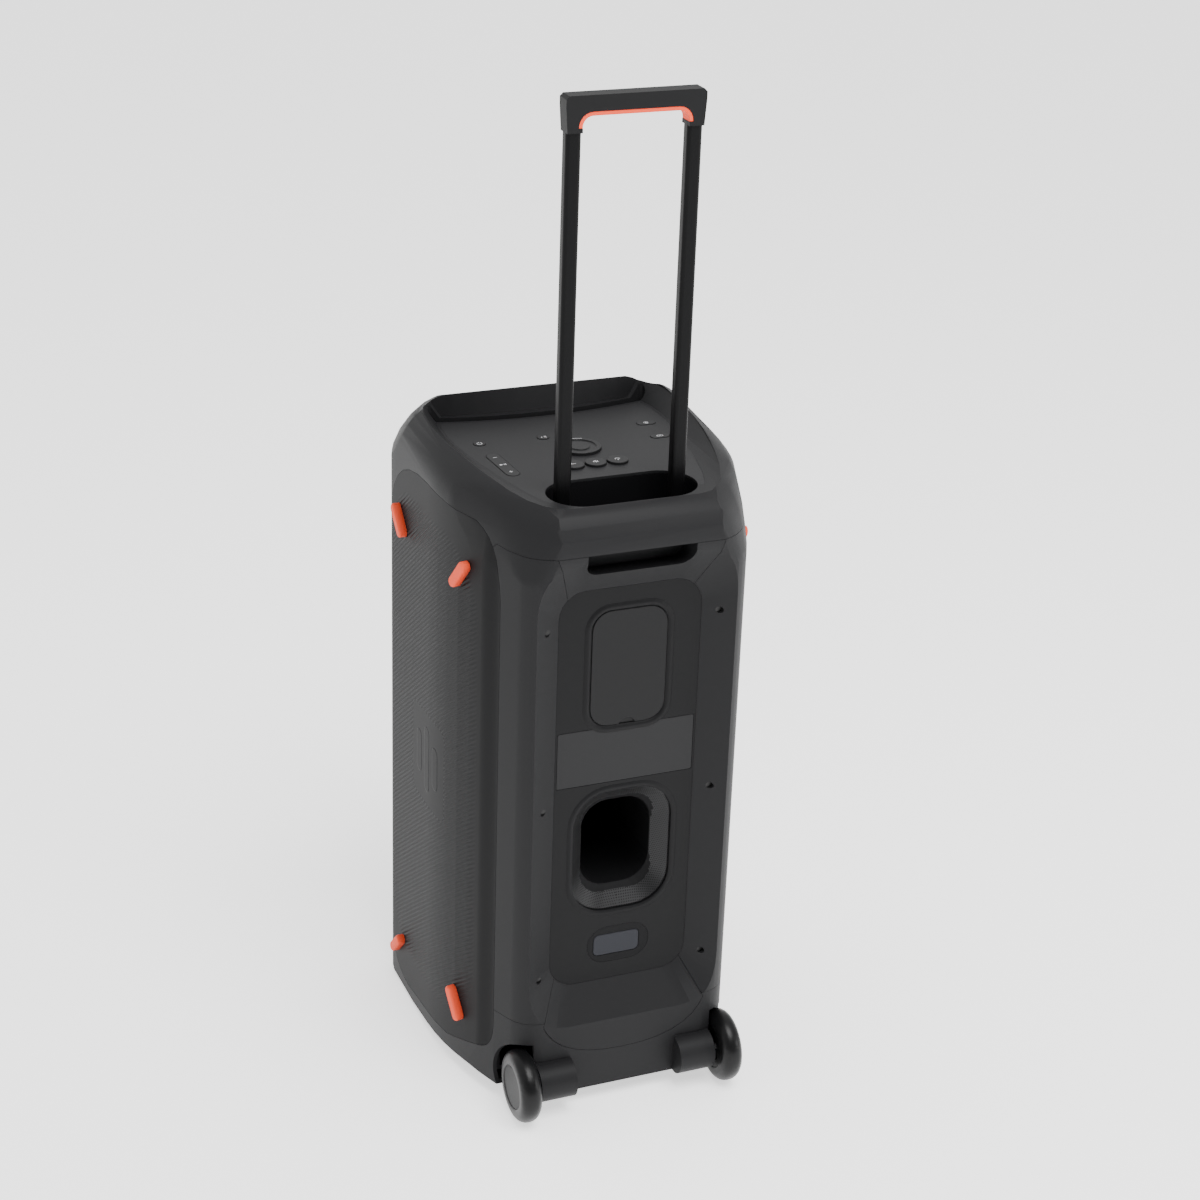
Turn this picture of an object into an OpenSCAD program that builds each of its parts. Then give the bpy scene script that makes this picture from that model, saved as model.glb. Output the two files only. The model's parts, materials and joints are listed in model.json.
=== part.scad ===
// Trolley party speaker: moulded cabinet, telescopic handle, two rear wheels, two woofers
// X runs across the cabinet, +Y points out of the back, Z is up, and the floor is z = 0.

/* [Cabinet] */
// Width across the cabinet, without the side feet
body_w = 309; // [306:1:314]
// Height of the front ridge above the floor
body_h = 687; // [684:0.5:690]
// Front face of the cabinet along Y
front_y = -183.5; // [-186:0.5:-182]
// Rear face of the cabinet along Y
rear_y = 143.5; // [142:0.5:145]
// Fall of the top towards the back, in degrees
top_slope = 4.6; // [4.4:0.05:4.8]
// Thickness of the outer mouldings
skin = 3.9; // [3.5:0.1:4.3]
// Gap left at the seams between mouldings
seam = 0.4; // [0.3:0.05:0.6]

/* [Handle] */
// Height of the top of the grip with the handle pulled out
grip_top = 1044.5; // [1035:0.5:1050]
// Distance from the middle to the axis of each pole
pole_x = 59.4; // [58.5:0.1:60]
// Distance of the poles behind the middle
pole_y = 79.5; // [78:0.5:81]
// Width of a pole
pole_w = 15; // [14:0.5:15.5]
// Depth of a pole
pole_d = 13; // [12:0.5:14]
// Distance that the handle slides down
travel = 382; // [360:1:382]

/* [Wheels] */
// Outer radius of a wheel
wheel_r = 38.2; // [36:0.1:38.2]
// Width of a tyre
wheel_w = 23; // [20:0.5:23]
// Distance from the middle of the cabinet to the middle of a wheel
wheel_x = 112; // [111:0.5:113]
// Radius of a stub axle
axle_r = 4; // [3:0.5:5]

/* [Drivers] */
// Outer radius of a woofer basket
woofer_r = 83; // [80:1:86]
// Heights of the two woofers
woofer_z = [168, 372];
// Height of the tweeters
tweeter_z = 530; // [520:1:540]
// Distance of each tweeter from the middle
tweeter_x = 66; // [60:1:72]

/* [Hidden] */
$fn = 48;

charcoal = [0.27, 0.27, 0.28];
dark = [0.17, 0.17, 0.18];
black = [0.08, 0.08, 0.09];
coral = [0.93, 0.36, 0.22];
steel = [0.7, 0.7, 0.72];
board_green = [0.1, 0.35, 0.2];

half_w = body_w / 2;
ridge_y = front_y + 27;
front_corner_r = 30;
side_r = 367;
side_start_y = -35;
rear_corner_r = 35;
top_front_r = 42;
shoulder_r = 36;
shoulder_steps = 5;
nose_r = 102;
nose_end_y = -105;
nose_rise = 4;
rim_front_z = 681;
rim_slope = 3.5;
deck_z = 662;
deck_edge = 3;
rail_face_y = 112;
bottom_front_z = 5;
bottom_rear_z = 17.5;
bottom_bend_y = -85;
bottom_rise_y = 60;

panel_front_y = -156.5;
panel_rear_y = 101.5;
panel_top_z = 637;
cap_rear_z = 621;
boot_z = 106;
inner_panel_y = 119.5;
inner_panel_w = 150;
inner_panel_low = 131;
inner_panel_high = 575;
inner_panel_r = 28;

axle_y = 145.3;
axle_z = wheel_r;
pod_r = 21;
pod_x = [58, 97];
grip_w = 137.2;
grip_d = 17;
leg_h = 34;
pole_bottom = 560;
sleeve_bottom = 166;
well_floor = 624.6;
well_top_w = 153;
well_y = [51.6, 119.6];
thin = 0.01;
slide_gap = 0.3;
bore_gap = 0.05;
key_gap = 0.4;

// Points of an arc of radius r about (cx, cy), from angle a0 to a1 in n steps
function arc(cx, cy, r, a0, a1, n) =
    [for (i = [0:n]) let (a = a0 + (a1 - a0) * i / n) [cx + r * cos(a), cy + r * sin(a)]];

// Points of a quadratic curve from a to c, pulled towards b
function curve(a, b, c, n) =
    [for (i = [0:n]) let (t = i / n) (1 - t) * (1 - t) * a + 2 * t * (1 - t) * b + t * t * c];

// The same points reflected in X, in reverse order
function reflected(p) = [for (i = [len(p) - 1:-1:0]) [-p[i][0], p[i][1]]];

function round_rect(w, h, r, n = 6) = concat(
    arc(w / 2 - r, h / 2 - r, r, 0, 90, n),
    arc(r - w / 2, h / 2 - r, r, 90, 180, n),
    arc(r - w / 2, r - h / 2, r, 180, 270, n),
    arc(w / 2 - r, r - h / 2, r, 270, 360, n));

// Plan of the cabinet, taken in by g
function side_end(r) = asin((rear_y - r - side_start_y) / (side_r - r));
function rear_corner_x(r) = half_w - side_r + (side_r - r) * cos(side_end(r));
function plan_half(g) = let (f = max(front_corner_r, g + 2), r = max(rear_corner_r, g + 2)) concat(
    arc(half_w - f, front_y + f, f - g, -90, 0, 6),
    arc(half_w - side_r, side_start_y, side_r - g, 0, side_end(r), 7),
    arc(rear_corner_x(r), rear_y - r, r - g, side_end(r) + 8, 90, 6));
function plan(g) = concat(plan_half(g), reflected(plan_half(g)));

// Side outline of the cabinet, taken in by g
function side_outline(g) = concat(
    arc(front_y + 30, bottom_front_z + 30, 30 - g, 180, 270, 6),
    [[bottom_bend_y, bottom_front_z + g], [bottom_rise_y, bottom_rear_z + g]],
    [[rear_y - g, bottom_rear_z + g], [rear_y - g, body_h + 5]],
    arc(front_y + top_front_r, body_h - top_front_r, top_front_r - g, 90, 180, 7));

// Outline of a side panel in Y and Z, grown by g
function panel_outline(g) = concat(
    curve([panel_rear_y + g, 566], [panel_rear_y - 1 + g, 622 + g], [58, panel_top_z - 2 + g], 7),
    curve([-40, panel_top_z + g], [-140, panel_top_z + g], [panel_front_y - g, 575], 6),
    curve([panel_front_y - g, 70], [panel_front_y - g, 13 - g], [-100, 17 - g], 6),
    [[20, 30 - g]],
    curve([78, 50 - g], [panel_rear_y + g, 57 - g], [panel_rear_y + g, 88], 6));

// Half outline of the rim, and of the flat deck inside it, taken in by g
function rim_half(g) = [
    [112 - g, -156 + g], [126 - g, -144 + g], [132.5 - g, -120], [134.5 - g, -95], [134.5 - g, -71],
    [132.3 - g, -40], [128 - g, -10], [122.5 - g, 20], [118 - g, 40], [109.5 - g, 72], [100 - g, 101],
    [90 - g, 118], [70 - g, 134], [30, 144 - g], [0, 145 - g]];
function deck_half(g) = [
    [98 - g, -156 + g], [112 - g, -142 + g], [117 - g, -118], [118.5 - g, -95], [118 - g, -71],
    [115.5 - g, -40], [111 - g, -10], [105.5 - g, 20], [101.5 - g, 40], [94.5 - g, 70], [86 - g, 95],
    [75 - g, 112], [60 - g, 126 - g], [25, 137 - g], [0, 138 - g]];
function both(p) = concat(p, [for (q = reflected(p)) if (q[0] < -0.01) q]);

// Outline of the finger groove behind the ridge, grown by g
groove_half = 120;
groove_w = 6;
function groove_y(x) = -130.2 - 14.1 * pow(x / 114.8, 2);
function groove(g) = let (e = groove_half - groove_w) concat(
    [for (i = [-8:8]) let (x = i / 8 * e) [x, groove_y(x) - groove_w - g]],
    arc(e, groove_y(e), groove_w + g, -70, 70, 4),
    [for (i = [8:-1:-8]) let (x = i / 8 * e) [x, groove_y(x) + groove_w + g]],
    arc(-e, groove_y(e), groove_w + g, 110, 250, 4));

// Everything from the rear wall of the groove forwards, with the wall moved back by g
function groove_front(g) = concat(
    [for (i = [-8:8]) let (x = i / 8 * (groove_half + 5)) [x, groove_y(x) + groove_w + g]],
    [[groove_half + 5, front_y], [-groove_half - 5, front_y]]);

// Outlines in X and Z of the beam above the rear panel and the apron below it, grown by g
beam_foot = [60, 552];
beam_lean = 26 / 69;
function beam_outline(g, top) = [
    [beam_foot[0] + g + (top - beam_foot[1]) * beam_lean, top],
    [-beam_foot[0] - g - (top - beam_foot[1]) * beam_lean, top],
    [-beam_foot[0] - g, beam_foot[1]], [beam_foot[0] + g, beam_foot[1]]];
function apron_outline(g) = concat(
    [[62 + g, 160], [70 + g, 141], [89 + g, 102]],
    curve([85 + g, 94 - g], [66 + g, 60 - g], [0, 60 - g], 6),
    [for (p = reflected(curve([85 + g, 94 - g], [66 + g, 60 - g], [0, 60 - g], 6))) if (p[0] < -0.01) p],
    [[-89 - g, 102], [-70 - g, 141], [-62 - g, 160]]);

// Extrudes an X-Z outline from y0 to y1
module along_y(y0, y1) {
    translate([0, y1, 0]) rotate([90, 0, 0]) linear_extrude(y1 - y0) children();
}

// Extrudes a Y-Z outline from x0 to x1
module along_x(x0, x1) {
    translate([x0, 0, 0]) rotate([90, 0, 90]) linear_extrude(x1 - x0) children();
}

// Places children on the flat deck at (x, y)
module on_deck(x, y) {
    translate([x, y, deck_z]) children();
}

// Tilts the z = 0 plane so that it falls by a degrees towards the back, with z = 0 kept at y0
module tilted(a, y0) {
    multmatrix([[1, 0, 0, 0], [0, 1, 0, 0], [0, -tan(a), 1, y0 * tan(a)], [0, 0, 0, 1]]) children();
}

module pill(l, w, h) {
    translate([-l / 2 + w / 2, -w / 2, 0]) cube([l - w, w, h]);
    for (s = [-1, 1]) translate([s * (l - w) / 2, 0, 0]) cylinder(h = h, d = w);
}

// The whole outer form of the cabinet, taken in by g
module body_form(g) {
    intersection() {
        hull() {
            linear_extrude(1) polygon(plan(g));
            tilted(top_slope, ridge_y)
                for (i = [0:shoulder_steps]) let (a = 90 * i / shoulder_steps, r = shoulder_r - g)
                    translate([0, 0, body_h - shoulder_r + r * sin(a) - thin])
                        linear_extrude(thin) polygon(plan(g + r * (1 - cos(a))));
        }
        along_x(-half_w - 1, half_w + 1) polygon(side_outline(g));
        nose(g);
        corner_form(g);
        mirror([1, 0, 0]) corner_form(g);
    }
}

// The same form below the hood, where the walls are upright
module lower_form(g) {
    intersection() {
        linear_extrude(300) polygon(plan(g));
        along_x(-half_w - 1, half_w + 1) polygon(side_outline(g));
    }
}

// Broad rounding of a rear top corner: directions, reach of the plan that way, and share of the rounding
corner_cuts = [[20, 155.4, 0.5], [32, 166.8, 0.9], [44, 172.9, 1], [56, 173.6, 0.8], [68, 168.2, 0.45]];
corner_profile = [[-1, 586], [2, 600], [6.5, 618], [12, 636], [18, 648], [25, 657], [34, 664]];
module corner_form(g) {
    intersection_for(c = corner_cuts) rotate([0, 0, c[0]]) along_y(-400, 400) polygon(concat(
        [[c[1] + 1 - g, 0]],
        [for (p = corner_profile) [c[1] - c[2] * p[0] - g, p[1] - g * p[0] / 34]],
        [[c[1] - c[2] * 50 - g, 671 - g], [-100, 718 - g], [-420, 760], [-420, 0]]));
}

// Softer top corners at the front, fading out towards the back
module nose(g) {
    hull() {
        along_y(front_y - 1, front_y) polygon(nose_outline(g, nose_r, 0));
        along_y(nose_end_y, nose_end_y + 1) polygon(nose_outline(g, shoulder_r, nose_rise));
        along_y(rear_y, rear_y + 10) polygon(nose_outline(g, nose_rise + 1, nose_rise + 1));
    }
}
function nose_outline(g, r, up) = concat(
    [[half_w + up - g, -10]],
    arc(half_w + up - r, body_h + up - r, r - g, 0, 90, 8),
    arc(r - half_w - up, body_h + up - r, r - g, 90, 180, 8),
    [[g - half_w - up, -10]]);

// Space above the sunken deck, taken in by g and moved down by d
module dish(g, d) {
    intersection() {
        hull() {
            tilted(rim_slope, ridge_y) translate([0, 0, rim_front_z - d])
                linear_extrude(20) polygon(both(rim_half(g)));
            translate([0, 0, deck_z - d]) linear_extrude(thin) polygon(both(deck_half(g)));
        }
        union() {
            for (i = [-6:5]) hull() {
                ridge_cut(i / 6 * 135, g);
                ridge_cut((i + 1) / 6 * 135, g);
            }
            translate([-200, -110, 600]) cube([400, 300, 120]);
        }
    }
}

// Thin slice of the space behind the ridge at x
module ridge_cut(x, g) {
    foot = groove_y(x) - groove_w + g;
    crest = -151 - 3 * pow(x / 115, 2) + g;
    along_x(x, x + thin) polygon([
        [foot, 640], [foot, deck_z], [min(foot, crest), body_h], [min(foot, crest), 720],
        [nose_end_y, 720], [nose_end_y, 640]]);
}

module skin_only() {
    difference() {
        body_form(0);
        body_form(skin);
    }
}

// Well for the rear recess: a frustum from the rail crease down to the rear panel
module rear_recess() {
    hull() {
        along_y(rear_y + 0.5, rear_y + 1)
            translate([0, (96 + 614) / 2]) polygon(round_rect(224, 614 - 96, 50));
        along_y(inner_panel_y, inner_panel_y + 0.1)
            translate([0, (inner_panel_low + inner_panel_high) / 2])
            polygon(round_rect(inner_panel_w, inner_panel_high - inner_panel_low, inner_panel_r));
    }
}

module wheel_arch() {
    for (s = [-1, 1]) translate([s * (98.5 + 20), axle_y, axle_z]) rotate([0, 90, 0])
        cylinder(h = 40, r = wheel_r + 5, center = true);
}

shell_top = 588;
module cabinet_shell() color(dark) difference() {
    union() {
        intersection() {
            difference() {
                translate([0, 0, 30]) linear_extrude(shell_top - 30) polygon(plan(skin + 0.4));
                translate([0, 0, 29]) linear_extrude(shell_top - 28) polygon(plan(skin + 4.4));
            }
            translate([-200, -150, 0]) cube([400, 150 + 100, 700]);
        }
        for (z = [30, shell_top - 4]) translate([0, 0, z]) linear_extrude(4) polygon(cabinet_plate);
    }
    wheel_arch();
    for (s = [-1, 1]) translate([s * pole_x, pole_y, shell_top - 10]) linear_extrude(20)
        polygon(round_rect(pole_w + 6.6, pole_d + 6.6, 4));
    translate([-45, -45, shell_top - 5]) cube([90, 90, 6]);
}
cabinet_plate = [for (p = plan(skin + 1)) [p[0], max(-150, min(100, p[1]))]];

module front_frame() color(charcoal) difference() {
    intersection() {
        body_form(0);
        translate([-200, front_y - 1, 0]) cube([400, panel_front_y - seam - front_y + 1, 650]);
    }
    along_y(front_y - 2, front_y + 8) translate([0, 338]) polygon(round_rect(262, 600, 26));
    along_y(front_y + 7, panel_front_y + 2) translate([0, 338]) polygon(round_rect(250, 588, 22));
    along_y(-166.5, panel_front_y + 2) translate([0, 338]) polygon(round_rect(290, 616, 22));
}

module front_grille() color(black) along_y(front_y + 1.5, front_y + 3.5)
    translate([0, 338]) polygon(round_rect(261, 599, 25.5));

module driver_holes(r) {
    for (z = woofer_z) translate([0, 0, z]) rotate([90, 0, 0]) cylinder(h = 500, r = r, center = true);
}

baffle_y = [-166, -154];
module baffle() color(dark) difference() {
    along_y(baffle_y[0], baffle_y[1]) translate([0, 338]) polygon(round_rect(289, 614, 21.5));
    driver_holes(woofer_r - 9);
    for (s = [-1, 1]) translate([s * tweeter_x, 0, tweeter_z]) rotate([90, 0, 0])
        cylinder(h = 500, r = 33, center = true);
}

module light_ring(z) color([0.9, 0.9, 0.95]) translate([0, baffle_y[0], z]) rotate([90, 0, 0])
    rotate_extrude($fn = 96) translate([woofer_r + 6, 0]) square([9, 6]);

module woofer_basket(z) color(dark) translate([0, baffle_y[0], z]) rotate([-90, 0, 0]) {
    rotate_extrude() polygon([
        [woofer_r, -4], [woofer_r - 12, -4], [woofer_r - 12, 0], [woofer_r - 9.3, 0],
        [woofer_r - 9.3, 14], [50, 46], [50, 52], [22, 52], [22, 49], [46, 49], [46, 44],
        [woofer_r - 12.3, 12], [woofer_r - 14.3, 0], [woofer_r - 14.3, -5], [woofer_r, -5]]);
}

module woofer_cone(z) color(black) translate([0, baffle_y[0], z]) rotate([-90, 0, 0]) rotate_extrude()
    polygon(concat(
        [[0, 24], [0, 26], [18, 32], [20, 33]],
        [[20, 48], [21.7, 48], [21.7, 34]],
        [[56, 4], [58, 2]],
        arc(62.5, 1, 5.5, 170, 10, 6),
        [[woofer_r - 14.6, 0], [woofer_r - 14.6, -1]],
        arc(62.5, -0.5, 4.5, 10, 170, 6),
        [[57, -1], [22, 28]],
        [[14, 25], [5, 24]]));

module woofer_magnet(z) color(steel) translate([0, baffle_y[0] + 52.2, z]) rotate([-90, 0, 0]) difference() {
    cylinder(h = 28, r = 46);
    translate([0, 0, -1]) cylinder(h = 12, r = 23);
}

module tweeter(s) translate([s * tweeter_x, baffle_y[0], tweeter_z]) rotate([-90, 0, 0]) {
    color(dark) rotate_extrude() polygon([
        [43, -4], [43, 0], [32.7, 0], [32.7, 20], [0, 20], [0, 4], [16, 4], [36, -4]]);
}

// Lower edge of the cap towards the rails, moved up by g
function hood_line(g) = [
    [72 - g, 600 + g], [90 - g, 622 + g], [103, 621 + g], [128, 619.5 + g], [rear_y - 2, cap_rear_z + g]];
cap_region = concat(
    [[panel_front_y + 0.2 - seam, 560], [-60, 560], [-60, 600 + seam]], hood_line(seam),
    [[150, cap_rear_z + seam], [150, 720], [-200, 720], [-200, 650 + seam],
    [panel_front_y + 0.2 - seam, 650 + seam]]);

module cap_side_cut() {
    along_x(-half_w - 1, half_w + 1) polygon(panel_outline(seam));
}

well_wall = 2.5;
module well_prism(g, z0, z1) {
    translate([0, (well_y[0] + well_y[1]) / 2, z0]) linear_extrude(z1 - z0)
        polygon(round_rect(well_top_w + 2 * g, well_y[1] - well_y[0] + 2 * g, 33.9 + g, 9));
}

groove_floor = 647;
groove_wall = 3;
plate_t = 2.8;
plate_end = 100;
ledge_t = 2.5;
ledge_w = 5;
module top_cap() color(charcoal) difference() {
    union() {
        intersection() {
            skin_only();
            along_x(-half_w - 1, half_w + 1) polygon(cap_region);
        }
        intersection() {
            body_form(skin - 0.5);
            union() {
                difference() {
                    dish(-3, plate_t + ledge_t);
                    linear_extrude(800) difference() {
                        intersection() {
                            polygon(both(deck_half(deck_edge + ledge_w)));
                            translate([-150, -200]) square([300, 200 + plate_end - ledge_w]);
                        }
                        polygon(groove_front(groove_wall));
                    }
                }
                translate([0, 0, groove_floor - groove_wall])
                    linear_extrude(40) polygon(groove(groove_wall));
            }
        }
        intersection() {
            body_form(skin - 0.5);
            translate([-85, 124, cap_rear_z + seam]) cube([170, 50, 3]);
        }
    }
    cap_side_cut();
    dish(0, 0);
    translate([0, 0, groove_floor]) linear_extrude(60) polygon(groove(0));
    plate_form(0.1, deck_z - plate_t - 0.1, 720);
    well_prism(0, well_floor - 1, 720);
    well_prism(well_wall + 0.2, well_floor - 1, deck_z - plate_t);
}

// Outline of the deck plate as a solid, grown by g
module plate_form(g, z0, z1) {
    translate([0, 0, z0]) linear_extrude(z1 - z0) difference() {
        intersection() {
            polygon(both(deck_half(deck_edge - g)));
            translate([-150, -200]) square([300, 200 + plate_end + g]);
        }
        polygon(groove_front(groove_wall + 0.2 - g));
    }
}

module deck_holes() {
    on_deck(0, dial_y) cylinder(h = 30, r = dial_r + key_gap, center = true);
    for (x = key_x) on_deck(x, key_y) cylinder(h = 30, r = key_r + key_gap, center = true);
    for (p = [power_at, pairing_at]) on_deck(p[0], p[1])
        cylinder(h = 30, r = small_r + key_gap, center = true);
    for (p = [light_at, link_at]) on_deck(p[0], p[1]) translate([0, 0, -15])
        pill(pill_l + 2 * key_gap, pill_w + 2 * key_gap, 30);
    on_deck(bar_at[0], bar_at[1]) rotate([0, 0, bar_turn]) translate([0, 0, -15])
        pill(bar_l + 2 * key_gap, bar_w + 2 * key_gap, 30);
}
dial_y = -27;
dial_r = 22;
key_x = [23.2, 0, -23.2];
key_y = 17.5;
key_r = 10.5;
small_r = 6;
power_at = [91.4, -66.3];
pairing_at = [24.3, -64.8];
light_at = [-91.7, -73];
link_at = [-90.7, -34];
pill_l = 20;
pill_w = 10;
bar_at = [88.5, -5.6];
bar_turn = 93.4;
bar_l = 62;
bar_w = 14;
key_sink = 2.6;

module control_deck() color([0.3, 0.3, 0.31]) difference() {
    plate_form(0, deck_z - plate_t, deck_z);
    deck_holes();
    well_prism(0, well_floor, 720);
}

module control_board() color(board_green) translate([-95, -90, 640]) cube([190, 130, 1.6]);

module handle_well() color(black) difference() {
    intersection() {
        well_prism(well_wall, well_floor, deck_z - plate_t - 0.2);
        body_form(skin + 0.3);
    }
    well_prism(0, well_floor + 3, 720);
    for (s = [-1, 1]) translate([s * pole_x, pole_y, well_floor - 1]) linear_extrude(5)
        polygon(round_rect(pole_w + 2 * slide_gap, pole_d + 2 * slide_gap, 4));
}

module pole_sleeve(s) color(dark) translate([s * pole_x, pole_y, sleeve_bottom]) difference() {
    linear_extrude(well_floor - sleeve_bottom) polygon(round_rect(pole_w + 6, pole_d + 6, 4));
    translate([0, 0, 3]) linear_extrude(500)
        polygon(round_rect(pole_w + 2 * slide_gap, pole_d + 2 * slide_gap, 4));
}

foot_l = 38;
foot_w = 11;
foot_rise = 8.5;
foot_sink = 3;
// The four pads on a side: y, z, turn in the side view, x of the surface, lean with the surface
foot_spots = [[-121, 566.6, -43, 154.5, 0], [43, 574.5, 52, 146.1, 12.3],
    [-128.5, 56, 45, 154.5, 0], [41, 82, -59, 146.5, 12]];

module foot_forms(g) {
    for (f = foot_spots) translate([f[3], f[0], f[1]]) rotate([0, 0, f[4]]) rotate([0, 90, 0])
        rotate([0, 0, 90 + f[2]]) translate([0, 0, -foot_sink - g])
        pill(foot_l + 2 * g, foot_w + 2 * g, foot_rise + foot_sink + g);
}

module side_panel() color(charcoal) difference() {
    intersection() {
        skin_only();
        along_x(50, half_w + 1) polygon(panel_outline(0));
    }
    foot_forms(0.1);
}

module side_feet() color(coral) foot_forms(0);

// Block of a rear rail: the corner of the cabinet between the boot and the hood, solid behind rail_face_y
module rail_blocks() {
    intersection() {
        body_form(0);
        difference() {
            translate([60, 50, boot_z + seam]) cube([120, 112, 560]);
            translate([0, 0, 90]) linear_extrude(600)
                polygon([for (p = plan(skin)) [p[0], min(p[1], rail_face_y)]]);
        }
        along_x(0, half_w + 1) polygon(concat(
            [[50, 600], [50, boot_z + seam], [150, boot_z + seam - 3], [150, cap_rear_z]],
            [for (i = [4:-1:0]) hood_line(0)[i]]));
    }
}

panel_hole = round_rect(inner_panel_w + seam, inner_panel_high - inner_panel_low + seam, inner_panel_r);
module rear_rail() color(charcoal) difference() {
    rail_blocks();
    rear_recess();
    along_x(0, half_w + 1) polygon(panel_outline(seam));
    along_y(100, 160) polygon(beam_outline(seam, cap_rear_z + 5));
    along_y(100, 160) polygon(apron_outline(seam));
    along_y(100, inner_panel_y + 0.05) translate([0, (inner_panel_low + inner_panel_high) / 2])
        polygon(panel_hole);
    wheel_arch();
    well_prism(well_wall + seam, 600, 720);
    screw_forms(30);
}

beam_y = 109.5;
pocket_w = 112;
pocket_low = 597;
module rear_beam() color(charcoal) difference() {
    intersection() {
        body_form(0);
        along_y(beam_y, 150) polygon(beam_outline(0, cap_rear_z));
    }
    rear_recess();
    along_y(100, inner_panel_y + 0.05) translate([0, (inner_panel_low + inner_panel_high) / 2])
        polygon(panel_hole);
    along_y(beam_y + 3.5, 150) translate([0, pocket_low + 25]) polygon(round_rect(pocket_w, 50, 14));
}

module rear_apron() color(charcoal) difference() {
    intersection() {
        body_form(0);
        along_y(116, 150) polygon(apron_outline(0));
    }
    rear_recess();
    along_y(100, inner_panel_y + 0.05) translate([0, (inner_panel_low + inner_panel_high) / 2])
        polygon(panel_hole);
    translate([-200, 100, 0]) cube([400, 32, 108]);
}

door_w = 79;
door_z = [426, 550];
door_r = 20;
port_z = [213, 352];
port_w = 107;
port_r = 38;
inlet_w = 68;
inlet_z = [151, 193];
module rear_panel() color([0.2, 0.2, 0.2]) difference() {
    along_y(inner_panel_y - 3, inner_panel_y) translate([0, (inner_panel_low + inner_panel_high) / 2])
        polygon(round_rect(inner_panel_w, inner_panel_high - inner_panel_low, inner_panel_r));
    along_y(100, 130) translate([0, (door_z[0] + door_z[1]) / 2])
        polygon(round_rect(door_w + 0.8, door_z[1] - door_z[0] + 0.8, door_r));
    along_y(100, 130) translate([0, (port_z[0] + port_z[1]) / 2])
        polygon(round_rect(port_w, port_z[1] - port_z[0], port_r));
    along_y(inner_panel_y - 4, inner_panel_y + 1) translate([0, (inlet_z[0] + inlet_z[1]) / 2])
        polygon(round_rect(inlet_w, inlet_z[1] - inlet_z[0], 20.5));
    along_y(inner_panel_y - 0.6, inner_panel_y + 1) translate([0, 393]) polygon(round_rect(146, 62, 2));
}

module jack_plate() color(dark) difference() {
    along_y(88, inner_panel_y - 3.1) translate([0, (door_z[0] + door_z[1]) / 2])
        polygon(round_rect(86, door_z[1] - door_z[0] + 6, 18));
    along_y(98, inner_panel_y) translate([0, (door_z[0] + door_z[1]) / 2])
        polygon(round_rect(door_w, door_z[1] - door_z[0], door_r));
    for (p = jack_spots) translate([p[0], 0, p[1]]) rotate([90, 0, 0])
        cylinder(h = 400, r = 8.4, center = true);
}
jack_spots = [[-18, 524], [18, 524], [-18, 490], [18, 490]];

module jack_sockets() color(steel) for (p = jack_spots) translate([p[0], 90, p[1]]) rotate([-90, 0, 0])
    difference() {
        cylinder(h = 11, r = 8);
        translate([0, 0, 2]) cylinder(h = 12, r = 3.2);
    }

duct_w = 75;
duct_h = 98;
duct_y = 101;
module bass_port() color(black) difference() {
    union() {
        hull() {
            along_y(inner_panel_y - 3.2, inner_panel_y - 3.1) translate([0, (port_z[0] + port_z[1]) / 2])
                polygon(round_rect(port_w + 5, port_z[1] - port_z[0] + 5, port_r));
            along_y(duct_y, duct_y + 0.1) translate([0, (port_z[0] + port_z[1]) / 2])
                polygon(round_rect(duct_w + 5, duct_h + 5, 30));
        }
        along_y(-20, duct_y + 0.1) translate([0, (port_z[0] + port_z[1]) / 2])
            polygon(round_rect(duct_w + 5, duct_h + 5, 30));
    }
    hull() {
        along_y(inner_panel_y - 3.1, inner_panel_y) translate([0, (port_z[0] + port_z[1]) / 2])
            polygon(round_rect(port_w, port_z[1] - port_z[0], port_r));
        along_y(duct_y, duct_y + 0.1) translate([0, (port_z[0] + port_z[1]) / 2])
            polygon(round_rect(duct_w, duct_h, 28));
    }
    along_y(-21, duct_y + 1) translate([0, (port_z[0] + port_z[1]) / 2])
        polygon(round_rect(duct_w, duct_h, 28));
}

module port_mesh() color(steel) difference() {
    hull() {
        along_y(inner_panel_y - 3, inner_panel_y - 2.9) translate([0, (port_z[0] + port_z[1]) / 2])
            polygon(round_rect(port_w - 1, port_z[1] - port_z[0] - 1, port_r - 1));
        along_y(duct_y + 1, duct_y + 1.1) translate([0, (port_z[0] + port_z[1]) / 2])
            polygon(round_rect(duct_w - 1, duct_h - 1, 27));
    }
    hull() {
        along_y(inner_panel_y - 3.1, inner_panel_y - 2) translate([0, (port_z[0] + port_z[1]) / 2])
            polygon(round_rect(port_w - 3, port_z[1] - port_z[0] - 3, port_r - 2));
        along_y(duct_y, duct_y + 1.2) translate([0, (port_z[0] + port_z[1]) / 2])
            polygon(round_rect(duct_w - 3, duct_h - 3, 26));
    }
}

module inlet_socket() color(black) difference() {
    along_y(98, inner_panel_y - 0.2) translate([0, (inlet_z[0] + inlet_z[1]) / 2])
        polygon(round_rect(inlet_w - 0.4, inlet_z[1] - inlet_z[0] - 0.4, 20.3));
    along_y(inner_panel_y - 4.2, inner_panel_y + 1) translate([2, (inlet_z[0] + inlet_z[1]) / 2])
        polygon(round_rect(51, 25, 6));
    along_y(inner_panel_y - 19, inner_panel_y + 1) translate([8, (inlet_z[0] + inlet_z[1]) / 2])
        polygon(round_rect(24, 16, 4));
}

module rating_label() color([0.12, 0.12, 0.12]) along_y(inner_panel_y - 0.5, inner_panel_y - 0.1)
    translate([0, 393]) polygon(round_rect(145, 61, 1.8));

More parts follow.
